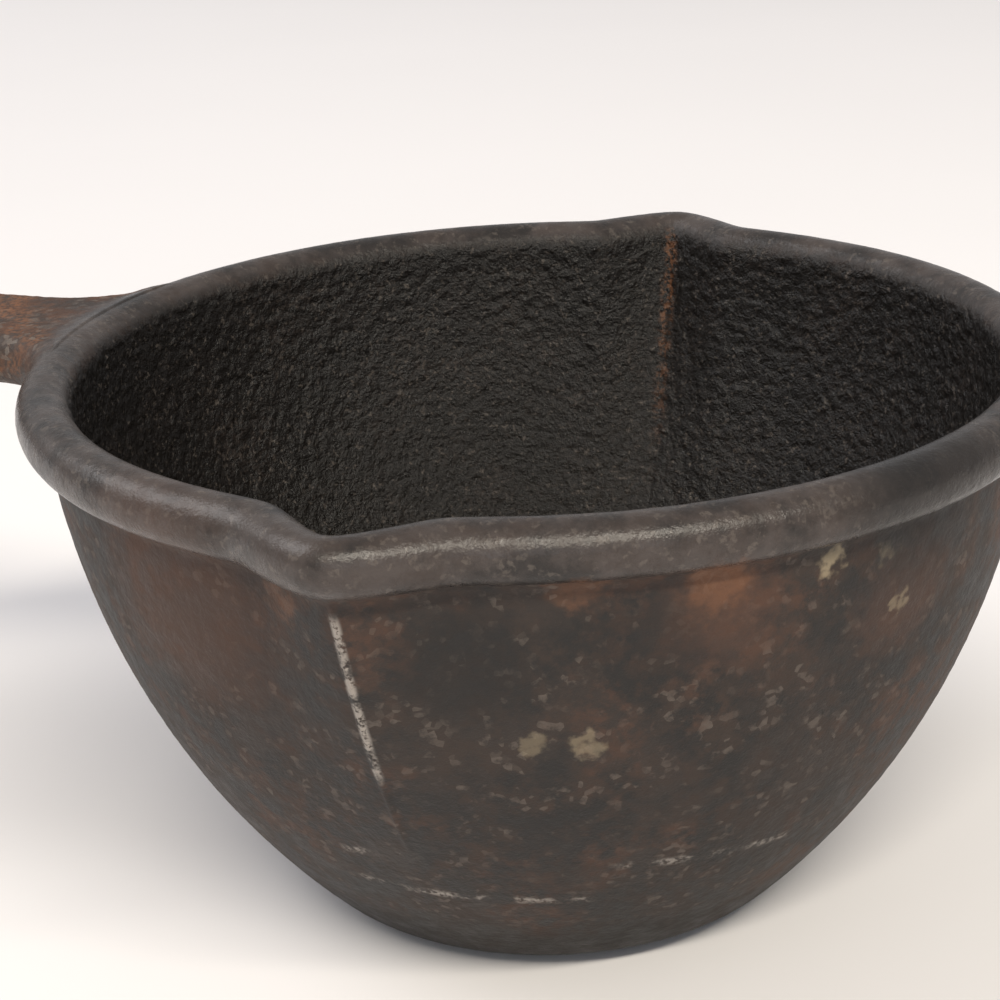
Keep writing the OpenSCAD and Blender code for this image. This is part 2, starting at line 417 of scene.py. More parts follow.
def spout_tree():
    """Folds the round wall and its roll outwards into a V at +Y and at -Y."""
    floats = ["Reach", "Width", "Tip", "Fold Start", "Height", "Power", "Half Angle", "Spread",
              "Blunting", "Root", "Fin Height", "Fin Width"]
    tree, given = new_group(
        "Pouring spouts",
        [(f, "NodeSocketFloat") for f in floats] + [("Material", "NodeSocketMaterial")],
    )
    one = "ShaderNodeMath"
    place = add(tree, "GeometryNodeInputPosition")
    split = add(tree, "ShaderNodeSeparateXYZ", inputs={0: place}).node.outputs
    wide = add(tree, one, {"operation": "ABSOLUTE"}, {0: split["X"]})
    deep = add(tree, one, {"operation": "ABSOLUTE"}, {0: split["Y"]})
    turn = add(tree, one, {"operation": "ARCTAN2"}, {0: wide, 1: deep})
    flat = add(tree, "ShaderNodeCombineXYZ", inputs={"X": split["X"], "Y": split["Y"]})
    radius = add(tree, "ShaderNodeVectorMath", {"operation": "LENGTH"}, {0: flat}, "Value")
    inner = add(tree, "GeometryNodeInputNamedAttribute", {"data_type": "FLOAT"}, {"Name": "inner_r"})
    depth = add(tree, one, {"operation": "SUBTRACT"}, {0: radius, 1: inner})
    half_w = add(tree, one, {"operation": "MULTIPLY"}, {0: given["Width"], 1: 0.5})
    spread = add(tree, one, {"operation": "MULTIPLY_ADD"}, {0: depth, 1: given["Spread"], 2: half_w})
    per_radian = add(tree, one, {"operation": "DIVIDE"}, {0: radius, 1: spread})
    blunt = add(tree, one, {"operation": "MULTIPLY_ADD"}, {0: depth, 1: given["Blunting"], 2: given["Tip"]})
    root2 = add(tree, one, {"operation": "MULTIPLY"}, {0: given["Root"], 1: given["Root"]})
    blunt2 = add(tree, one, {"operation": "MULTIPLY"}, {0: blunt, 1: blunt})
    peaks = []
    for angle in (turn, given["Half Angle"]):
        off = add(tree, one, {"operation": "MULTIPLY"}, {0: angle, 1: per_radian})
        off2 = add(tree, one, {"operation": "MULTIPLY_ADD"}, {0: off, 1: off, 2: blunt2})
        slope = add(tree, one, {"operation": "SQRT"}, {0: off2})
        top = add(tree, one, {"operation": "ADD"}, {0: blunt, 1: 1.0})
        h = add(tree, one, {"operation": "SUBTRACT"}, {0: top, 1: slope})
        h2 = add(tree, one, {"operation": "MULTIPLY_ADD"}, {0: h, 1: h, 2: root2})
        soft = add(tree, one, {"operation": "SQRT"}, {0: h2})
        peaks.append(add(tree, one, {"operation": "ADD"}, {0: h, 1: soft}))
    highest = add(tree, one, {"operation": "ADD"}, {0: root2, 1: 1.0})
    highest = add(tree, one, {"operation": "SQRT"}, {0: highest})
    highest = add(tree, one, {"operation": "ADD"}, {0: highest, 1: 1.0})
    rise = add(tree, one, {"operation": "SUBTRACT"}, {0: peaks[0], 1: peaks[1]})
    full = add(tree, one, {"operation": "SUBTRACT"}, {0: highest, 1: peaks[1]})
    shape = add(tree, one, {"operation": "DIVIDE", "use_clamp": True}, {0: rise, 1: full})
    within = add(tree, one, {"operation": "LESS_THAN"}, {0: turn, 1: given["Half Angle"]})
    shape = add(tree, one, {"operation": "MULTIPLY"}, {0: shape, 1: within})
    up = add(tree, "ShaderNodeMapRange", inputs={
        "Value": split["Z"], "From Min": given["Fold Start"], "From Max": given["Height"]})
    fold = add(tree, one, {"operation": "POWER"}, {0: up, 1: given["Power"]})
    fold = add(tree, one, {"operation": "MULTIPLY"}, {0: fold, 1: given["Reach"]})
    out = add(tree, one, {"operation": "MULTIPLY"}, {0: fold, 1: shape})
    # The parting line of the mould, a low fin down the keel and the groove of each spout
    across = add(tree, one, {"operation": "DIVIDE"}, {0: wide, 1: given["Fin Width"]})
    across = add(tree, one, {"operation": "MULTIPLY"}, {0: across, 1: across})
    fin = add(tree, one, {"operation": "EXPONENT"}, {0: add(tree, one, {"operation": "MULTIPLY"}, {0: across, 1: -1.0})})
    plain = add(tree, "GeometryNodeInputNamedAttribute", {"data_type": "FLOAT"}, {"Name": "fin"})
    fin = add(tree, one, {"operation": "MULTIPLY"}, {0: fin, 1: plain})
    fin = add(tree, one, {"operation": "MULTIPLY"}, {0: fin, 1: given["Fin Height"]})
    out = add(tree, one, {"operation": "ADD"}, {0: out, 1: fin})
    share = add(tree, one, {"operation": "DIVIDE"}, {0: out, 1: radius})
    offset = add(tree, "ShaderNodeVectorMath", {"operation": "SCALE"}, {0: flat, "Scale": share})
    folded = add(tree, "GeometryNodeSetPosition", inputs={"Geometry": given["Geometry"], "Offset": offset})
    close_group(tree, folded, given["Material"])
    return tree


def grain_tree():
    """Raises the pebbles and slow ripples that a sand mould leaves, along the surface's normals."""
    floats = ["Pebble", "Pebble Height", "Ripple", "Ripple Height", "Seed"]
    tree, given = new_group(
        "Sand-cast grain",
        [(f, "NodeSocketFloat") for f in floats] + [("Material", "NodeSocketMaterial")],
    )
    one = "ShaderNodeMath"
    place = add(tree, "GeometryNodeInputPosition")
    weight = add(tree, "GeometryNodeInputNamedAttribute", {"data_type": "FLOAT"}, {"Name": "grain"})
    often = add(tree, one, {"operation": "DIVIDE"}, {0: 1.0, 1: given["Pebble"]})
    cells = add(
        tree,
        "ShaderNodeTexVoronoi",
        {"voronoi_dimensions": "4D", "feature": "SMOOTH_F1"},
        {"Vector": place, "W": given["Seed"], "Scale": often, "Smoothness": 0.35},
        "Distance",
    )
    dome = add(tree, one, {"operation": "SUBTRACT"}, {0: 0.48, 1: cells})
    often2 = add(tree, one, {"operation": "MULTIPLY"}, {0: often, 1: 0.9})
    lumps = add(
        tree,
        "ShaderNodeTexNoise",
        {"noise_dimensions": "4D"},
        {"Vector": place, "W": given["Seed"], "Scale": often2, "Detail": 2.0, "Roughness": 0.6},
    )
    lumps = add(tree, one, {"operation": "SUBTRACT"}, {0: lumps, 1: 0.5})
    both = add(tree, one, {"operation": "MULTIPLY_ADD"}, {0: lumps, 1: 1.6, 2: dome})
    pebbles = add(tree, one, {"operation": "MULTIPLY"}, {0: both, 1: given["Pebble Height"]})
    pebbles = add(tree, one, {"operation": "MULTIPLY"}, {0: pebbles, 1: weight})
    seldom = add(tree, one, {"operation": "DIVIDE"}, {0: 1.0, 1: given["Ripple"]})
    waves = add(
        tree,
        "ShaderNodeTexNoise",
        {"noise_dimensions": "4D"},
        {"Vector": place, "W": given["Seed"], "Scale": seldom, "Detail": 1.0},
    )
    waves = add(tree, one, {"operation": "SUBTRACT"}, {0: waves, 1: 0.5})
    even = add(tree, "GeometryNodeInputNamedAttribute", {"data_type": "FLOAT"}, {"Name": "ripple"})
    waves = add(tree, one, {"operation": "MULTIPLY"}, {0: waves, 1: even})
    height = add(tree, one, {"operation": "MULTIPLY_ADD"}, {0: waves, 1: given["Ripple Height"], 2: pebbles})
    sink = add(tree, "GeometryNodeInputNamedAttribute", {"data_type": "FLOAT"}, {"Name": "sink"})
    height = add(tree, one, {"operation": "SUBTRACT"}, {0: height, 1: sink})
    normal = add(tree, "GeometryNodeInputNormal")
    offset = add(tree, "ShaderNodeVectorMath", {"operation": "SCALE"}, {0: normal, "Scale": height})
    raised = add(tree, "GeometryNodeSetPosition", inputs={"Geometry": given["Geometry"], "Offset": offset})
    close_group(tree, raised, given["Material"])
    return tree


def run_trees(mesh, trees):
    """The mesh after Geometry Nodes modifiers, given as (tree, {input: value}), as plain arrays."""
    obj = bpy.data.objects.new(mesh.name, mesh)
    bpy.context.scene.collection.objects.link(obj)
    for tree, values in trees:
        modifier = obj.modifiers.new(tree.name, "NODES")
        modifier.node_group = tree
        for item in tree.interface.items_tree:
            if item.in_out == "INPUT" and item.name in values:
                modifier[item.identifier] = values[item.name]
    evaluated = obj.evaluated_get(bpy.context.evaluated_depsgraph_get())
    plain = bpy.data.meshes.new_from_object(evaluated)
    bpy.data.objects.remove(obj)
    n = len(plain.vertices)
    co, normals = np.zeros(n * 3, np.float32), np.zeros(n * 3, np.float32)
    plain.vertices.foreach_get("co", co)
    plain.vertex_normals.foreach_get("vector", normals)
    bpy.data.meshes.remove(plain)
    return co.reshape(-1, 3), normals.reshape(-1, 3)


def grain_values(grain):
    return {
        "Pebble": grain.pebble,
        "Pebble Height": grain.pebble_h,
        "Ripple": grain.ripple,
        "Ripple Height": grain.ripple_h,
        "Seed": float(grain.seed),
    }


class Casting:
    """The finished skins of the bowl and of the handle, from which each piece is cut."""

    def __init__(self, sizes, grain):
        self.shape = Shape(sizes)
        self.material = bpy.data.materials.new("Raw casting")
        self.spouts, self.sand = spout_tree(), grain_tree()
        self.bowl(sizes, grain)
        self.handle(grain)

    def columns(self):
        """Angles round the bowl, crowded at the tip of each spout."""
        half = np.radians(22)
        i = np.arange(-SPOUT_COLUMNS // 2, SPOUT_COLUMNS // 2) / (SPOUT_COLUMNS / 2)
        spout = half * np.sign(i) * np.abs(i) ** 1.25
        n = COLUMNS // 2 - SPOUT_COLUMNS
        wall = half + (np.pi - 2 * half) * np.arange(n) / n
        quarter = np.pi / 2
        return np.r_[quarter + spout, quarter + wall, 3 * quarter + spout, 3 * quarter + wall]

    def bowl(self, sizes, grain):
        s, skin = self.shape, Skin()
        angles = self.columns()
        radii = s.rows[:, 0]
        roll_share = np.clip((s.along - s.lip[0]) / (s.lip[1] - s.lip[0]), 0, 1)
        inside = np.where(s.parts == "inside", 1.0, smooth((roll_share - 0.78) / 0.2))
        bead = smooth((s.along - s.lip[0] + 1.2) / 1.6) * (1 - inside)
        outside = (1 - inside) * (1 - bead)
        grains = inside + 0.2 * outside + 0.1 * bead
        fins = smooth((s.rows[:, 1] - 20) / 10) * (outside + 0.4 * inside)
        fins = fins * smooth((s.lip[0] - 0.5 - s.along) / 2 + (s.parts == "inside") * 99)
        first = skin.points([[0, 0, 0]], inside=0, bead=0, grain=0.3, inner_r=0, fin=0, ripple=0, sink=0)
        self.index, self.turns = [], []
        for k, (r, z) in enumerate(s.rows):
            step = 1 if r > 30 else 2 if r > 12 else 4
            a = angles[::step]
            co = np.c_[r * np.cos(a), r * np.sin(a), np.full(len(a), z)]
            # The flat underside stays flat, to stand on
            ripple = smooth(z / 3) if s.parts[k] != "inside" else 1
            ring = skin.points(
                co, inside=inside[k], bead=bead[k], grain=grains[k] * (0.25 + 0.75 * ripple),
                inner_r=s.inside_r(z) * MM, fin=fins[k], ripple=ripple, sink=0,
            )
            self.index.append(np.repeat(ring, step))
            self.turns.append(np.repeat(a, step))
        last = skin.points([[0, 0, s.floor_t]], inside=1, bead=0, grain=1, inner_r=0, fin=0, ripple=1, sink=0)
        self.index = np.array([np.repeat(first, COLUMNS), *self.index, np.repeat(last, COLUMNS)])
        self.index = np.c_[self.index, self.index[:, :1]]
        self.turns = np.array([angles, *self.turns, angles])
        self.turns = np.c_[self.turns, self.turns[:, :1] + 2 * np.pi]
        self.radii = np.r_[0, radii, 0]
        self.along = np.r_[s.along[0] - radii[0], s.along, s.along[-1] + radii[-1]]
        faces = face_corners(self.index, np.zeros((*self.index.shape, 2)))
        skin.quads, skin.tris = [faces[0][0]], [faces[1][0]]
        folds = {
            "Reach": sizes.spout_reach, "Width": sizes.spout_w, "Tip": 0.14,
            "Fold Start": sizes.fold_z, "Height": sizes.pot_h, "Power": 1.6,
            "Half Angle": float(np.radians(22)), "Spread": 0.28, "Blunting": 34.0, "Root": 0.18,
            "Fin Height": grain.fin, "Fin Width": 0.34 * MM,
        }
        self.bowl_values = {k: np.concatenate(v) for k, v in skin.values.items()}
        mesh = skin.mesh("Bowl skin")
        self.bowl_co, self.bowl_no = run_trees(mesh, [(self.spouts, folds), (self.sand, grain_values(grain))])
        bpy.data.meshes.remove(mesh)

    def handle(self, grain):
        s, skin = self.shape, Skin()
        t, inset, up = s.loop().T
        # The root ends on the pot, in a rounded patch round the roll, given as an angle and a length
        # along the outline
        roll_at = s.lip[0] + (np.radians(80) - heading(s.fillet_c - s.roll_c)) * s.roll_r
        wall_rows = slice(0, s.rim_row - s.base_row + 1)
        low_z = s.mid_z(0) - s.handle_t / 2 - s.under_r - 1.2
        low_at = np.interp(low_z, s.outline[wall_rows, 1], s.outline_along[wall_rows])
        flare_turn = np.arctan2(s.neck_w / 2 + s.flare_r, s.neck_s)
        wide = flare_turn + 0.05
        turn = t * wide * (1 - 0.22 * inset / s.edge_w)
        at = (roll_at + low_at) / 2 + up * (roll_at - low_at) / 2

        def on_pot(turn, at, lift=0.0):
            r = np.interp(at, s.outline_along, s.outline[:, 0]) + lift
            z = np.interp(at, s.outline_along, s.outline[:, 1])
            return np.stack([-r * np.cos(turn), r * np.sin(turn), z], -1)

        start, end = on_pot(turn, at), s.bar(s.root_end)
        # The flare seen from above, from the rim's circle to the neck
        tangent = np.linspace(wide, flare_turn, 12)[:-1]
        rim_arc = s.rim_r * np.c_[-np.cos(tangent), np.sin(tangent)]
        arc = np.linspace(np.pi / 2 - flare_turn, 0, 60)
        flare = np.c_[
            -s.neck_s + s.flare_r * np.sin(arc), s.neck_w / 2 + s.flare_r * (1 - np.cos(arc))
        ]
        path = np.r_[rim_arc, flare, [[-s.root_end, s.neck_w / 2]]]
        path_at = np.r_[0, np.cumsum(np.hypot(*np.diff(path, axis=0).T))]
        share = np.linspace(0, 1, 61)
        true = np.c_[[np.interp(share * path_at[-1], path_at, path[:, i]) for i in (0, 1)]].T
        bump = true - (true[:1] * (1 - share[:, None]) + true[-1:] * share[:, None])
        rows = []
        for w, (bx, by) in zip(share, bump):
            row = start * (1 - w) + end * w
            row[:, 0] += bx * t * t
            row[:, 1] += by * t
            rows.append(row)
        rows = np.array(rows)
        rows[1:-1] = s.settle(rows[1:-1].reshape(-1, 3)).reshape(rows[1:-1].shape)
        stations = np.linspace(s.root_end, s.eye_start, 151)[1:]
        rows = np.r_[rows, [s.bar(x) for x in stations]]
        n = len(share)
        weight = smooth(np.r_[share, np.ones(len(stations))] / 0.55)[:, None]
        sunk = 0.07 * MM * (1 - smooth(np.r_[share, np.ones(len(stations))] / 0.05))[:, None]
        grid = skin.points(rows, inside=0, bead=1 - weight, handle=weight, grain=0.13 + 0.17 * weight,
                           ripple=1, sink=sunk)
        loop = np.c_[grid, grid[:, :1]]
        self.root_grid, self.shank_grid = loop[:n], loop[n - 1:]
        skin.grid(loop)
        self.eye(skin, grid[-1])
        self.root_cap_points(on_pot, turn, at)
        self.handle_values = {k: np.concatenate(v) for k, v in skin.values.items()}
        mesh = skin.mesh("Handle skin")
        self.handle_co, self.handle_no = run_trees(mesh, [(self.sand, grain_values(grain))])
        bpy.data.meshes.remove(mesh)
        for key in ("inside", "bead", "handle"):
            self.handle_values.setdefault(key, np.zeros(len(self.handle_co)))
        self.bowl_values["handle"] = np.zeros(len(self.bowl_co))

    def root_cap_points(self, on_pot, turn, at):
        """The hidden end of the root, which lies along the pot's outside: its loop's vertices in pairs
        above each other, and the points between them."""
        half, side, flat = EDGE_STEPS // 2, EDGE_STEPS + 1, FLAT_STEPS - 1
        right = side + flat
        tops = np.r_[half:side, side:right, right:right + half + 1]
        bottoms = np.r_[np.arange(half, -1, -1), np.arange(2 * side + 2 * flat - 1, 2 * side + flat - 1, -1),
                        np.arange(right + side - 1, right + half - 1, -1)]
        down = np.linspace(0, 1, 25)[1:-1, None]
        between = at[tops] * (1 - down) + at[bottoms] * down
        self.root_cap = tops, bottoms, on_pot(np.broadcast_to(turn[tops], between.shape), between, -0.07)

    def eye(self, skin, end):
        """The rounded end of the handle with its hanging hole, grown from the shank's last loop."""
        s = self.shape
        side, flat = EDGE_STEPS + 1, FLAT_STEPS - 1
        _, inset, up = s.loop()[side + flat:2 * side + flat].T
        z = s.mid_z(s.eye_s) + up * s.handle_t / 2
        ahead = np.linspace(s.eye_start, s.eye_s, 46)[1:]
        tip = np.linspace(0, np.pi, 102)[1:-1]
        edge = []
        for x in ahead:
            edge.append(np.c_[np.full(side, -x), s.half_w(x, inset), z])
        for b in tip:
            r = s.grip_w / 2 - inset
            edge.append(np.c_[-s.eye_s - r * np.sin(b), r * np.cos(b), z])
        for x in ahead[::-1]:
            edge.append(np.c_[np.full(side, -x), -s.half_w(x, inset), z])
        given = dict(inside=0, bead=0, handle=1, grain=0.3, ripple=1, sink=0)
        middle = skin.points(edge, **given)
        right, left = end[side + flat:2 * side + flat], end[:side][::-1]
        self.eye_edge = np.r_[right[None], middle, left[None]]
        skin.grid(self.eye_edge)
        # From the top's outline in to the hole, down its wall and out to the underside's outline
        top = np.r_[self.eye_edge[:, 0], end[side:side + flat]]
        bottom = np.r_[self.eye_edge[:, -1], end[2 * side + flat:][::-1]]
        co = np.concatenate(skin.co)[top][:, :2] - [-s.eye_s, 0]
        turn, reach = np.arctan2(co[:, 1], co[:, 0]), np.hypot(*co.T)
        r, soft, half = s.hole_d / 2, 0.8, s.handle_t / 2
        rings = [(1 - m, r + soft, half) for m in np.linspace(0, 1, 25)[1:]]
        for a in np.linspace(0, np.pi / 2, 7)[1:]:
            rings.append((0, r + soft * (1 - np.sin(a)), half - soft * (1 - np.cos(a))))
        walls = [(0, r, h) for h in np.linspace(half - soft, soft - half, 12)[1:]]
        rings = rings + walls + [(m, x, -h) for m, x, h in rings[::-1]][1:]
        points = []
        for m, x, h in rings:
            out = reach * m + x * (1 - m)
            points.append(np.c_[-s.eye_s + out * np.cos(turn), out * np.sin(turn),
                                np.full(len(turn), s.mid_z(s.eye_s) + h)])
        middle = skin.points(points, **given)
        around = np.r_[top[None], middle, bottom[None]]
        self.eye_face = np.c_[around, around[:, :1]]
        skin.grid(self.eye_face)


def face_corners(index, uv):
    """The quads and triangles of a grid of vertex numbers, some of them repeated, with their corners'
    places in the map."""
    rows, columns = index.shape
    i, j = np.meshgrid(np.arange(rows - 1), np.arange(columns - 1), indexing="ij")
    corner = [(i, j), (i, j + 1), (i + 1, j + 1), (i + 1, j)]
    q = np.stack([index[c].ravel() for c in corner], -1)
    at = np.stack([uv[c].reshape(-1, 2) for c in corner], 1)
    same = q == np.roll(q, -1, 1)
    whole, three = same.sum(1) == 0, same.sum(1) == 1
    keep = ~same[three]
    return (q[whole], at[whole]), (q[three][keep].reshape(-1, 3), at[three][keep].reshape(-1, 3, 2))


class Piece:
    """One closed piece of the casting, cut from a skin, with a flat map of its surface."""

    def __init__(self, co, normals, values):
        self.co, self.normals, self.values, self.charts = co, normals, values, []

    def extra(self, co):
        """Adds hidden vertices, in metres, and returns their numbers."""
        flat = co.reshape(-1, 3)
        first = len(self.co)
        self.co = np.r_[self.co, flat]
        self.normals = np.r_[self.normals, np.zeros_like(flat)]
        self.values = {k: np.r_[v, np.zeros(len(flat))] for k, v in self.values.items()}
        return np.arange(first, first + len(flat)).reshape(co.shape[:-1])

    def patch(self, index, u, v, hidden=False):
        """A grid of the surface, mapped to u and v in millimetres."""
        self.charts.append((*face_corners(index, np.stack(np.broadcast_arrays(u, v), -1)), hidden))

    def cap(self, ring, flat, outward):
        """A flat face inside the iron, over a ring of vertices drawn flat in two axes."""
        tris = np.array(tessellate_polygon([[Vector((x, y, 0)) for x, y in flat]]))
        p = self.co[ring][tris]
        facing = (np.cross(p[:, 1] - p[:, 0], p[:, 2] - p[:, 0]) @ outward).sum()
        if facing < 0:
            tris = tris[:, ::-1]
        none = np.zeros((0, 4), int), np.zeros((0, 4, 2))
        self.charts.append((none, (ring[tris], flat[tris]), True))

    def packed(self):
        """The charts side by side on shelves, scaled to fill the map."""
        boxes = []
        for quads, tris, _ in self.charts:
            at = np.r_[quads[1].reshape(-1, 2), tris[1].reshape(-1, 2)]
            boxes.append((at.min(0), at.max(0) - at.min(0) + 0.8))
        side = np.sqrt(sum(size[0] * size[1] for _, size in boxes)) * 1.08
        order = sorted(range(len(boxes)), key=lambda i: -boxes[i][1][1])
        x = y = shelf = widest = 0.0
        shifts = {}
        for i in order:
            low, size = boxes[i]
            if x > 0 and x + size[0] > side:
                x, y, shelf = 0.0, y + shelf, 0.0
            shifts[i] = np.array([x, y]) - low + 0.4
            x, shelf = x + size[0], max(shelf, size[1])
            widest = max(widest, x)
        scale = 1 / max(widest, y + shelf)
        return [shifts[i] for i in range(len(boxes))], scale

    def build(self, name, material, slot):
        """The piece as an object that stands for its CAD node."""
        shifts, scale = self.packed()
        quads = np.concatenate([c[0][0] for c in self.charts])
        tris = np.concatenate([c[1][0] for c in self.charts])
        uv = np.concatenate(
            [((c[0][1] + s) * scale).reshape(-1, 2) for c, s in zip(self.charts, shifts)]
            + [((c[1][1] + s) * scale).reshape(-1, 2) for c, s in zip(self.charts, shifts)]
        )
        hidden = np.concatenate(
            [np.full(len(c[0][0]) * 4, c[2]) for c in self.charts]
            + [np.full(len(c[1][0]) * 3, c[2]) for c in self.charts]
        )
        used, compact = np.unique(np.r_[quads.ravel(), tris.ravel()], return_inverse=True)
        split = quads.size
        mesh = raw_mesh(name, self.co[used], compact[:split].reshape(-1, 4), compact[split:].reshape(-1, 3))
        mesh.uv_layers.new(name="OFBake").data.foreach_set("uv", uv.astype(np.float32).ravel())
        for key in ("inside", "bead", "handle"):
            mesh.attributes.new(key, "FLOAT", "POINT").data.foreach_set(
                "value", self.values[key][used].astype(np.float32)
            )
        # One shading runs over all the pieces, and the hidden joints between them are flat
        faces = np.zeros(len(mesh.polygons) * 3, np.float32)
        mesh.polygons.foreach_get("normal", faces)
        per_corner = np.repeat(faces.reshape(-1, 3), [4] * len(quads) + [3] * len(tris), axis=0)
        shading = np.where(hidden[:, None], per_corner, self.normals[used][compact])
        mesh.normals_split_custom_set(shading.tolist())
        mesh.materials.append(material)
        piece = bpy.data.objects.new("cast_" + name, mesh)
        bpy.context.scene.collection.objects.link(piece)
        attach(piece, "root")
        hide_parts(name)
        return piece


class Bowl:
    """Cuts the bowl's skin into pieces, between rows and columns of its grid."""

    def __init__(self, casting):
        self.c = casting
        s = casting.shape
        self.fold, self.rim = s.base_row + 1, s.rim_row + 1
        self.inner_rim, self.inner_fold = s.inner_rim_row + 1, s.inner_base_row + 1
        self.left, self.near = (0, SPOUT_COLUMNS), (SPOUT_COLUMNS, COLUMNS // 2)
        self.right, self.away = (COLUMNS // 2, COLUMNS // 2 + SPOUT_COLUMNS), (COLUMNS // 2 + SPOUT_COLUMNS, COLUMNS)

    def piece(self):
        return Piece(self.c.bowl_co, self.c.bowl_no, self.c.bowl_values)

    def skin(self, piece, rows, columns):
        """The skin between two rows and two columns, in charts about 60 mm wide."""
        c = self.c
        rows = slice(rows[0], rows[1] + 1)
        span = c.turns[self.rim, columns[1]] - c.turns[self.rim, columns[0]]
        parts = max(1, round(span * c.radii[rows].max() / 60))
        edges = np.linspace(*columns, parts + 1).round().astype(int)
        for a, b in zip(edges[:-1], edges[1:]):
            turn = c.turns[rows, a:b + 1]
            u = (turn - turn.mean()) * c.radii[rows, None]
            piece.patch(c.index[rows, a:b + 1], u, c.along[rows, None])

    def ring(self, piece, outer, inner, columns, up):
        """The hidden face between the outer and the inner skin at a height."""
        c = self.c
        columns = slice(columns[0], columns[1] + 1)
        pair = np.array([outer, inner] if up else [inner, outer])
        r = c.radii[pair, None]
        turn = c.turns[pair, columns]
        piece.patch(c.index[pair, columns], r * np.cos(turn), r * np.sin(turn), hidden=True)

    def side(self, piece, spans, column, sign):
        """The hidden face across the wall at a column."""
        c = self.c
        ring = np.concatenate([c.index[a:b + 1, column] for a, b in spans])
        co = piece.co[ring] / MM
        turn = c.turns[self.rim, column]
        outward = sign * np.array([-np.sin(turn), np.cos(turn), 0])
        piece.cap(ring, np.c_[np.hypot(co[:, 0], co[:, 1]), co[:, 2]], outward)

    def base(self):
        piece, everywhere = self.piece(), (0, COLUMNS)
        self.skin(piece, (0, self.fold), everywhere)
        self.skin(piece, (self.inner_fold, len(self.c.index) - 1), everywhere)
        self.ring(piece, self.fold, self.inner_fold, everywhere, True)
        return piece

    def segment(self, columns, rows, low, high=None):
        """A piece between two columns: rows of the skin, in spans, and its hidden rings."""
        piece = self.piece()
        for span in rows:
            self.skin(piece, span, columns)
        self.ring(piece, *low, columns, False)
        if high:
            self.ring(piece, *high, columns, True)
        self.side(piece, rows, columns[0], -1)
        self.side(piece, rows, columns[1], 1)
        return piece

    def wall(self, columns):
        rows = [(self.fold, self.rim), (self.inner_rim, self.inner_fold)]
        return self.segment(columns, rows, (self.fold, self.inner_fold), (self.rim, self.inner_rim))

    def rim_part(self, columns):
        return self.segment(columns, [(self.rim, self.inner_rim)], (self.rim, self.inner_rim))

    def spout(self, columns):
        return self.segment(columns, [(self.fold, self.inner_fold)], (self.fold, self.inner_fold))


class Handle:
    """Cuts the handle's skin into its root, its shank and its eye."""

    def __init__(self, casting):
        self.c = casting

    def piece(self):
        return Piece(self.c.handle_co, self.c.handle_no, self.c.handle_values)

    def strip(self, piece, index):
        """Skin between loops, with the length along it and round it in millimetres."""
        co = self.c.handle_co[index] / MM
        round_it = np.sqrt((np.diff(co, axis=1) ** 2).sum(-1))
        along = np.sqrt((np.diff(co, axis=0) ** 2).sum(-1)).mean(1)
        u = np.c_[np.zeros(len(co)), np.cumsum(round_it, 1)]
        piece.patch(index, u - u.mean(1)[:, None], np.r_[0, np.cumsum(along)][:, None])

    def end(self, piece, loop, sign):
        co = self.c.handle_co[loop] / MM
        piece.cap(loop, co[:, 1:], np.array([sign, 0, 0]))

    def root(self):
        c, piece = self.c, self.piece()
        self.strip(piece, c.root_grid)
        self.end(piece, c.root_grid[-1, :-1], -1)
        tops, bottoms, between = c.root_cap
        start = c.root_grid[0]
        inside = piece.extra(between * MM)
        grid = np.r_[start[tops][None], inside, start[bottoms][None]]
        grid[:, 0], grid[:, -1] = start[tops[0]], start[tops[-1]]
        grid = grid[::-1]
        co = piece.co[grid] / MM
        piece.patch(grid, co[..., 1], co[..., 2], hidden=True)
        return piece

    def shank(self):
        piece = self.piece()
        self.strip(piece, self.c.shank_grid)
        self.end(piece, self.c.shank_grid[0, :-1], 1)
        self.end(piece, self.c.shank_grid[-1, :-1], -1)
        return piece

    def eye(self):
        c, piece = self.c, self.piece()
        self.strip(piece, c.eye_edge)
        co = c.handle_co[c.eye_face] / MM
        flat, last = 24, len(co) - 1
        for a, b in ((0, flat), (last - flat, last)):
            piece.patch(c.eye_face[a:b + 1], co[a:b + 1, :, 0], co[a:b + 1, :, 1])
        self.strip(piece, c.eye_face[flat:last - flat + 1])
        self.end(piece, c.shank_grid[-1, :-1], 1)
        return piece


# What each operator needs from the one casting, made once
made = {}


def casting(context):
    if not made:
        made["casting"] = Casting(context.scene.pot_sizes, context.scene.pot_grain)
        made["bowl"], made["handle"] = Bowl(made["casting"]), Handle(made["casting"])
    return made["bowl"], made["handle"]


def linear(text):
    """An sRGB hex colour as linear RGBA."""
    rgb = np.array([int(text[i:i + 2], 16) for i in (1, 3, 5)]) / 255
    rgb = np.where(rgb <= 0.04045, rgb / 12.92, ((rgb + 0.055) / 1.055) ** 2.4)
    return (*[float(v) for v in rgb], 1.0)


MATH, VECTOR, MIX, MAP = "ShaderNodeMath", "ShaderNodeVectorMath", "ShaderNodeMix", "ShaderNodeMapRange"
NOISE, CELLS = "ShaderNodeTexNoise", "ShaderNodeTexVoronoi"


def new_material(name):
    mat = bpy.data.materials.new(name)
    mat.use_nodes = True
    mat.node_tree.nodes.clear()
    return mat, mat.node_tree


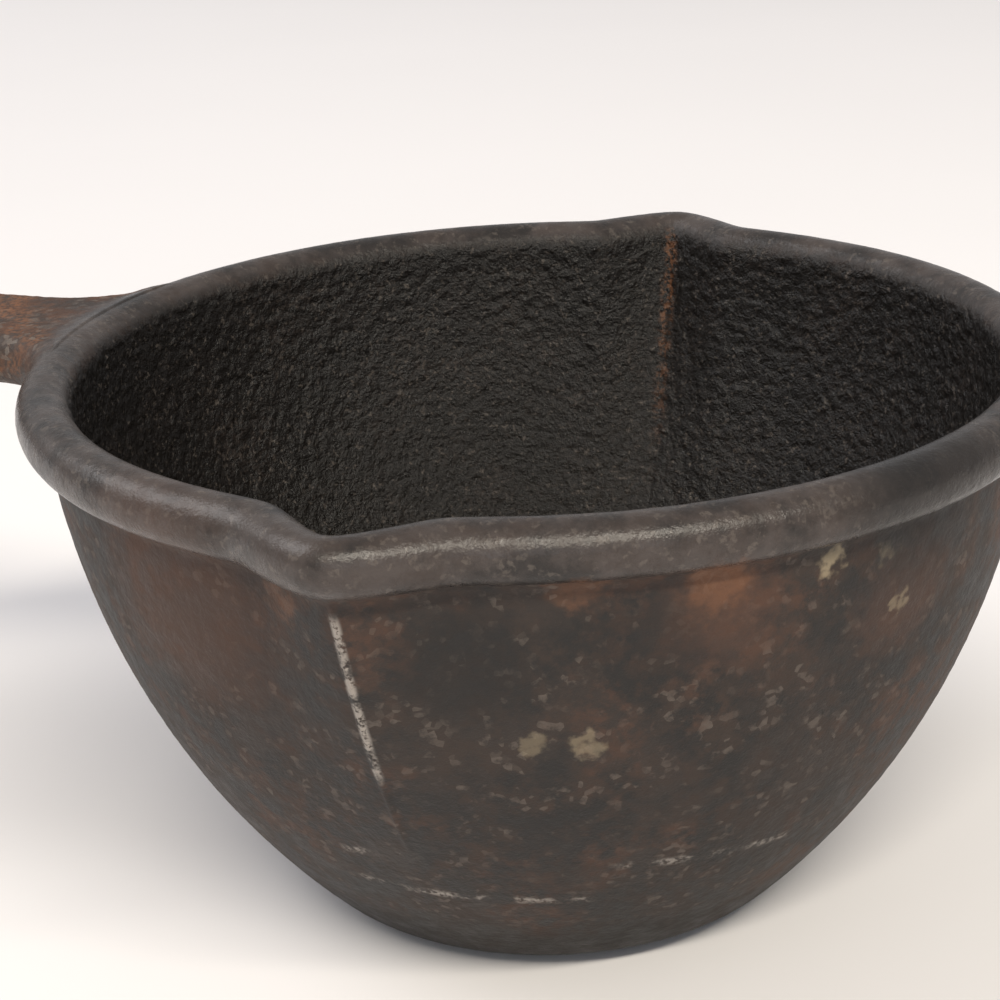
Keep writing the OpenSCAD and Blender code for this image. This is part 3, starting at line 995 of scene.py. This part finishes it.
def iron(name, colours, shape, spout_wear_and_keel_highlight=False, rust=0.0, sooty=0.0):
    """Old seasoned grey cast iron, sand cast: oil baked into a dark, half-matt skin over its pebbles,
    thin and brown where it is handled, with rust where it has worn through."""
    mat, tree = new_material(name)
    place = add(tree, "ShaderNodeTexCoord", output="Object")
    inside, bead, handle = (
        add(tree, "ShaderNodeAttribute", {"attribute_name": key}, output="Fac")
        for key in ("inside", "bead", "handle")
    )
    hue = {key: linear(getattr(colours, key)) for key in PotColours.__annotations__}

    def over(under, top, share):
        return add(tree, MIX, {"data_type": "RGBA"}, {"Factor": share, 6: under, 7: top}, 2)

    def product(*values):
        result = values[0]
        for value in values[1:]:
            result = add(tree, MATH, {"operation": "MULTIPLY"}, {0: result, 1: value})
        return result

    def ramp(value, low, high, top=1.0, bottom=0.0):
        return add(tree, MAP, {"interpolation_type": "SMOOTHSTEP"}, {
            "Value": value, "From Min": low, "From Max": high, "To Min": bottom, "To Max": top})

    # Cloudy patches of thick and thin seasoning, 11 mm and 3 mm across
    clouds = add(tree, NOISE, inputs={"Vector": place, "Scale": 1 / 0.011, "Detail": 6.0, "Roughness": 0.66})
    mottle = add(tree, NOISE, inputs={"Vector": place, "Scale": 1 / 0.0034, "Detail": 5.0, "Roughness": 0.7})
    fine = add(tree, NOISE, inputs={"Vector": place, "Scale": 1 / 0.0006, "Detail": 3.0, "Roughness": 0.6})
    # Sand grains 0.8 mm across, each worn by a different amount; inside the bowl the same cells pick the grains that
    # get painted glints
    grains = add(tree, CELLS, inputs={"Vector": place, "Scale": 1 / 0.0008}, output="Color")
    worn = add(tree, "ShaderNodeSeparateColor", inputs={"Color": grains}, output="Red")
    blotch = add(tree, NOISE, {"noise_dimensions": "4D"}, {
        "Vector": place, "W": 3.0, "Scale": 1 / 0.017, "Detail": 5.0, "Roughness": 0.7})

    outside = over(hue["charcoal"], hue["umber"], ramp(mottle, 0.4, 0.64))
    outside = over(outside, hue["umber"], ramp(clouds, 0.45, 0.62, 0.6))
    specks = product(ramp(worn, 0.72, 0.95), ramp(mottle, 0.45, 0.62), 0.4)
    outside = over(outside, hue["ash"], specks)
    rusty = product(ramp(blotch, 0.47, 0.62), ramp(mottle, 0.4, 0.6))
    outside = over(outside, hue["rust"], product(rusty, 0.62))
    if rust:
        outside = over(outside, hue["rust"], product(ramp(clouds, 0.4, 0.6), rust))
    if sooty:
        # Painted shade: the brown of the outside darkens to black towards the foot
        height = add(tree, "ShaderNodeSeparateXYZ", inputs={"Vector": place}, output="Z")
        outside = over(outside, hue["soot"], ramp(height, 0.0125, 0.006, sooty))

    # The roll is rubbed by hands and cloths to a smooth grey brown
    rubbed = over(hue["worn"], hue["umber"], ramp(mottle, 0.4, 0.66, 0.7))
    rubbed = over(rubbed, hue["charcoal"], ramp(clouds, 0.42, 0.62, 0.85))
    rubbed = over(rubbed, hue["ash"], product(ramp(worn, 0.6, 1.0), ramp(fine, 0.45, 0.6), 0.3))
    # The inside is black and leathery
    black = over(hue["soot"], hue["umber"], product(ramp(clouds, 0.4, 0.75), ramp(fine, 0.4, 0.62), 0.45))
    # Pale grey specks on the black are painted glints, painted highlights on the pebbles
    black = over(black, hue["ash"], product(ramp(fine, 0.54, 0.68), ramp(worn, 0.3, 1.0), 0.45))
    # The handle is brown with orange blooms of rust
    brown = over(hue["umber"], hue["rust"], ramp(mottle, 0.38, 0.62, 0.8))
    brown = over(brown, hue["orange"], product(ramp(blotch, 0.5, 0.62), ramp(fine, 0.35, 0.6), 0.75))
    brown = over(brown, hue["ash"], product(ramp(worn, 0.66, 0.96), ramp(clouds, 0.4, 0.6), 0.55))
    whole = over(outside, rubbed, bead)
    whole = over(whole, black, inside)
    whole = over(whole, brown, handle)

    # Marks of age in their places on the outside, given as the angle round the pot, the height and
    # the size in millimetres
    plain = add(tree, MATH, {"operation": "SUBTRACT"}, {0: 1.0, 1: inside})
    plain = product(plain, add(tree, MATH, {"operation": "SUBTRACT"}, {0: 1.0, 1: handle}))
    marks = {
        "rust": ((-112, 52, 17, 0.5), (-54, 54, 9, 0.5), (-30, 50, 9, 0.5)),
        "orange": ((-54, 57, 4.5, 0.4), (-68, 58.4, 3.5, 0.3), (-96, 57, 4.5, 0.4), (-87, 58, 3.5, 0.4)),
        "scale": ((-41.7, 57.4, 2.1, 0.6), (-34.3, 55.9, 1.9, 0.35), (-67.4, 39.8, 2.2, 0.3), (-73, 40, 2, 0.25),
                  (-31, 49.5, 1.5, 0.35)),
        "charcoal": ((-80, 50, 10, 0.7), (-30, 62, 16, 0.8), (-62, 52, 9, 0.5)),
    }
    wobble = add(tree, NOISE, inputs={"Vector": place, "Scale": 1 / 0.0016, "Detail": 4.0}, output="Color")
    wobble = add(tree, VECTOR, {"operation": "SCALE"}, {0: wobble, "Scale": 0.006})
    wobbly = add(tree, VECTOR, {"operation": "ADD"}, {0: place, 1: wobble})
    for kind, places in marks.items():
        for turn, z, size, strength in places:
            r = float(np.interp(z, shape.outline[:, 1], shape.outline[:, 0]))
            at = np.array([r * np.cos(np.radians(turn)), r * np.sin(np.radians(turn)), z]) * MM + 0.003
            off = add(tree, VECTOR, {"operation": "DISTANCE"}, {0: wobbly, 1: at.tolist()}, "Value")
            whole = over(whole, hue[kind], product(ramp(off, size * MM, size * MM * 0.35, strength), plain))
    # Scuffs round the foot, where the pot slides on shelves, broken along their length
    x, y, z = add(tree, "ShaderNodeSeparateXYZ", inputs={"Vector": place}).node.outputs
    turn = add(tree, MATH, {"operation": "ARCTAN2"}, {0: y, 1: x})
    scuffed = None
    for height, slope, low, high in ((16.0, 1.5, -104, -62), (20.5, 3.5, -64, -34), (22.4, -6.0, -102, -88)):
        middle = np.radians((low + high) / 2)
        line = add(tree, MATH, {"operation": "MULTIPLY_ADD"}, {
            0: turn, 1: -slope * MM, 2: height * MM + float(middle) * slope * MM})
        off = add(tree, MATH, {"operation": "ABSOLUTE"}, {
            0: add(tree, MATH, {"operation": "SUBTRACT"}, {0: z, 1: line})})
        near = ramp(off, 0.0009, 0.0001)
        ends = add(tree, MATH, {"operation": "ABSOLUTE"}, {
            0: add(tree, MATH, {"operation": "SUBTRACT"}, {0: turn, 1: float(middle)})})
        half = float(np.radians(high - low) / 2)
        near = product(near, ramp(ends, half, half * 0.7), ramp(mottle, 0.44, 0.62), ramp(fine, 0.38, 0.56))
        scuffed = near if scuffed is None else add(tree, MATH, {"operation": "MAXIMUM"}, {0: scuffed, 1: near})
    bare = product(scuffed, plain, 0.7)
    if spout_wear_and_keel_highlight:
        # The keel of the front spout is rubbed through to bright iron and carries a painted highlight along it,
        # broken along its length
        along = ramp(z, 0.034, 0.037)
        along = product(along, ramp(z, 0.0575, 0.0555), ramp(y, -0.02, -0.03))
        across = ramp(add(tree, MATH, {"operation": "ABSOLUTE"}, {0: x}), 0.0007, 0.0002)
        keel = product(along, across, ramp(mottle, 0.38, 0.54), ramp(fine, 0.36, 0.52), plain, 0.85)
        bare = add(tree, MATH, {"operation": "MAXIMUM"}, {0: bare, 1: keel})
        # Rust sits in the groove of each spout, inside
        groove = ramp(add(tree, MATH, {"operation": "ABSOLUTE"}, {0: x}), 0.0014, 0.0003)
        groove = product(groove, inside, ramp(z, 0.03, 0.055), ramp(mottle, 0.42, 0.58), ramp(fine, 0.4, 0.6), 0.6)
        whole = over(whole, hue["orange"], groove)
    # Bright iron of the foot's scuffs and of the keel; along the keel it is also a painted highlight
    whole = over(whole, hue["bare"], bare)

    rough = ramp(mottle, 0.3, 0.7, 0.72, 0.5)
    rough = add(tree, MIX, inputs={"Factor": bead, 2: rough, 3: ramp(mottle, 0.3, 0.7, 0.34, 0.2)})
    rough = add(tree, MIX, inputs={"Factor": inside, 2: rough, 3: ramp(fine, 0.3, 0.7, 0.42, 0.26)})
    rough = add(tree, MIX, inputs={"Factor": bare, 2: rough, 3: 0.36})
    # Pits and grains too fine for the mesh, 0.6 mm and 0.25 mm across
    pits = add(tree, NOISE, inputs={"Vector": place, "Scale": 1 / 0.00045, "Detail": 4.0, "Roughness": 0.65})
    lumps = add(tree, NOISE, inputs={"Vector": place, "Scale": 1 / 0.0013, "Detail": 3.0, "Roughness": 0.6})
    relief = add(tree, MATH, {"operation": "MULTIPLY_ADD"}, {0: lumps, 1: 1.6, 2: pits})
    weight = add(tree, MIX, inputs={"Factor": bead, 2: 1.0, 3: 0.5})
    weight = add(tree, MIX, inputs={"Factor": inside, 2: weight, 3: 2.6})
    relief = product(relief, weight)
    normal = add(tree, "ShaderNodeBump", inputs={"Height": relief, "Strength": 0.55, "Distance": 0.00022})
    shader = add(tree, "ShaderNodeBsdfPrincipled", inputs={
        "Base Color": whole, "Roughness": rough, "Metallic": bare, "Normal": normal,
        "Specular IOR Level": 0.3})
    add_output = tree.nodes.new("ShaderNodeOutputMaterial")
    tree.links.new(shader, add_output.inputs["Surface"])
    return mat


def finishes(context):
    """The four finishes of the one casting, made once."""
    if "finishes" not in made:
        colours, shape = context.scene.pot_colours, made["casting"].shape
        made["finishes"] = {
            # The floor and foot get painted shade, darker towards the foot on the outside
            "sooty_iron": iron("Seasoned cast iron with painted foot shade", colours, shape, sooty=0.8),
            "seasoned_iron": iron("Seasoned cast iron", colours, shape),
            # The rims and spouts carry a painted highlight down the front spout's keel
            "rubbed_iron": iron("Rubbed seasoned cast iron with painted keel highlight", colours, shape, spout_wear_and_keel_highlight=True),
            "handle_iron": iron("Handled cast iron", colours, shape, rust=0.3),
        }
    return made["finishes"]


class POT_OT_base(bpy.types.Operator):
    """Cast the floor and the foot"""

    bl_idname = "melting_pot.base"
    bl_label = "Floor and Foot"

    def execute(self, context):
        bowl, _ = casting(context)
        # Its finish darkens the outside towards the foot with painted shade
        bowl.base().build("base", finishes(context)["sooty_iron"], "sooty_iron")
        return {"FINISHED"}


class POT_OT_walls(bpy.types.Operator):
    """Cast the two walls between the spouts"""

    bl_idname = "melting_pot.walls"
    bl_label = "Walls"

    def execute(self, context):
        bowl, _ = casting(context)
        bowl.wall(bowl.near).build("handle_side_wall", finishes(context)["seasoned_iron"], "seasoned_iron")
        bowl.wall(bowl.away).build("far_side_wall", finishes(context)["seasoned_iron"], "seasoned_iron")
        return {"FINISHED"}


class POT_OT_rims(bpy.types.Operator):
    """Cast the two rolled rims between the spouts"""

    bl_idname = "melting_pot.rims"
    bl_label = "Rolled Rims"

    def execute(self, context):
        bowl, _ = casting(context)
        bowl.rim_part(bowl.near).build("handle_side_rim", finishes(context)["rubbed_iron"], "rubbed_iron")
        bowl.rim_part(bowl.away).build("far_side_rim", finishes(context)["rubbed_iron"], "rubbed_iron")
        return {"FINISHED"}


class POT_OT_spouts(bpy.types.Operator):
    """Cast the two pouring spouts"""

    bl_idname = "melting_pot.spouts"
    bl_label = "Pouring Spouts"

    def execute(self, context):
        bowl, _ = casting(context)
        bowl.spout(bowl.left).build("left_spout", finishes(context)["rubbed_iron"], "rubbed_iron")
        bowl.spout(bowl.right).build("right_spout", finishes(context)["rubbed_iron"], "rubbed_iron")
        return {"FINISHED"}


class POT_OT_handle(bpy.types.Operator):
    """Cast the handle: its flared root, its shank and its hanging eye"""

    bl_idname = "melting_pot.handle"
    bl_label = "Handle"

    def execute(self, context):
        _, handle = casting(context)
        handle.root().build("handle_root", finishes(context)["handle_iron"], "handle_iron")
        handle.shank().build("handle_shank", finishes(context)["handle_iron"], "handle_iron")
        handle.eye().build("handle_eye", finishes(context)["handle_iron"], "handle_iron")
        return {"FINISHED"}


class POT_OT_stage(bpy.types.Operator):
    """Set the pale table, the soft studio light and the camera"""

    bl_idname = "melting_pot.stage"
    bl_label = "Stage"

    def execute(self, context):
        scene = context.scene
        mesh = bpy.data.meshes.new("Table")
        mesh.from_pydata([(-4, -4, 0), (4, -4, 0), (4, 4, 0), (-4, 4, 0)], [], [(0, 1, 2, 3)])
        table = bpy.data.objects.new("Table", mesh)
        scene.collection.objects.link(table)
        mat, tree = new_material("White paper board")
        # Plain matt board under the pot, with the faintest unevenness of an unwrapped surface
        cloud = add(tree, NOISE, inputs={
            "Vector": add(tree, "ShaderNodeTexCoord", output="Object"), "Scale": 1 / 0.15, "Detail": 2.0})
        pale = linear(context.scene.pot_colours.floor)
        shade = tuple(0.96 * v for v in pale[:3]) + (1.0,)
        tone = add(tree, MIX, {"data_type": "RGBA"}, {"Factor": cloud, 6: shade, 7: pale}, 2)
        shader = add(tree, "ShaderNodeBsdfPrincipled", inputs={"Base Color": tone, "Roughness": 0.8})
        tree.links.new(shader, tree.nodes.new("ShaderNodeOutputMaterial").inputs["Surface"])
        mesh.materials.append(mat)
        # A soft window from the left, a long warm lamp above the front, and a cool wall at the right
        for name, place, size, watts, tint in (
            ("Window", (-1.5, -0.1, 1.5), (1.3, 1.3), 20, (1.0, 0.99, 1.0)),
            ("Lamp", (0.62, -0.9, 1.25), (1.3, 0.1), 26, (1.0, 0.93, 0.8)),
            ("Wall", (0.5, -1.4, 0.5), (1.2, 0.4), 2.5, (0.8, 0.9, 1.0)),
        ):
            light = bpy.data.lights.new(name, "AREA")
            light.shape, (light.size, light.size_y), light.energy, light.color = "RECTANGLE", size, watts, tint
            lamp = bpy.data.objects.new(name, light)
            lamp.location = place
            lamp.rotation_euler = (Vector((0, 0, 0.03)) - Vector(place)).to_track_quat("-Z", "Y").to_euler()
            scene.collection.objects.link(lamp)
        world = bpy.data.worlds.new("Pale room")
        world.use_nodes = True
        world.node_tree.nodes["Background"].inputs["Color"].default_value = (0.9, 0.9, 0.92, 1)
        world.node_tree.nodes["Background"].inputs["Strength"].default_value = 0.52
        scene.world = world
        camera = bpy.data.objects.new("Camera", bpy.data.cameras.new("Camera"))
        camera.data.lens, camera.data.sensor_width = 82.69, 36
        right, up, forward = (0.9435, 0.32872, -0.04191), (-0.0794, 0.34706, 0.93448), (-0.32172, 0.87835, -0.35355)
        turned = Matrix((right, up, [-x for x in forward])).transposed().to_4x4()
        camera.matrix_world = Matrix.Translation((0.082987, -0.241012, 0.142314)) @ turned
        camera.data.clip_start = 0.01
        scene.collection.objects.link(camera)
        scene.camera = camera
        scene.view_settings.view_transform = "Standard"
        return {"FINISHED"}


class POT_PT_panel(bpy.types.Panel):
    """Lists the steps that make the pot"""

    bl_idname = "POT_PT_panel"
    bl_label = "Butter Melting Pot"
    bl_space_type = "VIEW_3D"
    bl_region_type = "UI"
    bl_category = "Melting Pot"

    def draw(self, context):
        for step in STEPS:
            self.layout.operator(step.bl_idname)
        for group in ("pot_sizes", "pot_grain", "pot_colours"):
            box = self.layout.box()
            for key in getattr(context.scene, group).__annotations__:
                box.prop(getattr(context.scene, group), key)


STEPS = (POT_OT_base, POT_OT_walls, POT_OT_rims, POT_OT_spouts, POT_OT_handle, POT_OT_stage)
CLASSES = (PotSizes, PotGrain, PotColours, *STEPS, POT_PT_panel)


def register():
    for cls in CLASSES:
        bpy.utils.register_class(cls)
    bpy.types.Scene.pot_sizes = bpy.props.PointerProperty(type=PotSizes)
    bpy.types.Scene.pot_grain = bpy.props.PointerProperty(type=PotGrain)
    bpy.types.Scene.pot_colours = bpy.props.PointerProperty(type=PotColours)


def unregister():
    for key in ("pot_sizes", "pot_grain", "pot_colours"):
        delattr(bpy.types.Scene, key)
    for cls in reversed(CLASSES):
        bpy.utils.unregister_class(cls)


def main():
    register()
    for step in STEPS:
        group, name = step.bl_idname.split(".")
        getattr(getattr(bpy.ops, group), name)()


if __name__ == "__main__":
    main()
